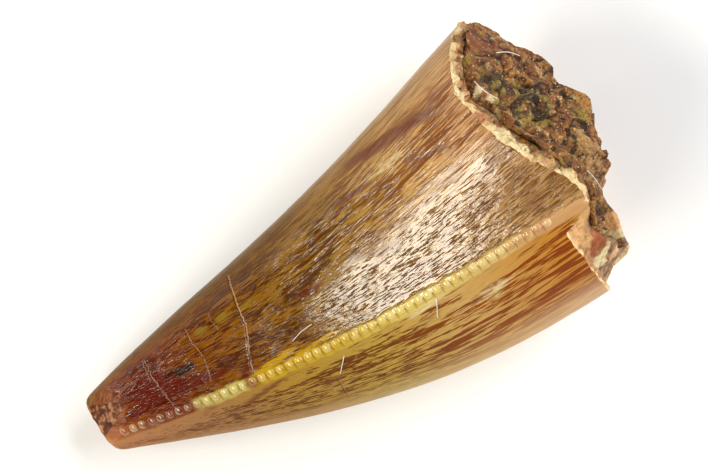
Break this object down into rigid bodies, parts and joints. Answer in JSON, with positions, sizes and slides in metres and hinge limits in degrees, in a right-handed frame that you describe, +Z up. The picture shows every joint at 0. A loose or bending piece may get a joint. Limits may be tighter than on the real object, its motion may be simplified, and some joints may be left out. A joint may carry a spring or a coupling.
{
  "type": "fossil phytosaur tooth",
  "caption": "Stout, slightly bowed fossil reptile tooth with serrated carinae, a worn tip and a broken base that shows the mudstone in its pulp cavity.",
  "frame": {"origin": "middle of the outline's box seen from above, on the surface that the tooth lies on", "axes": "+X from the tip towards the broken base, +Z up out of the surface it lies on, +Y across, on the side away from the upper carina"},
  "size_m": [0.0188, 0.0092, 0.0083],
  "materials": {
    "enamel": "gloss",
    "mudstone": "matte"
  },
  "bodies": {
    "root": {"crown": "enamel", "cavity_matrix": "mudstone"}
  },
  "joints": []
}
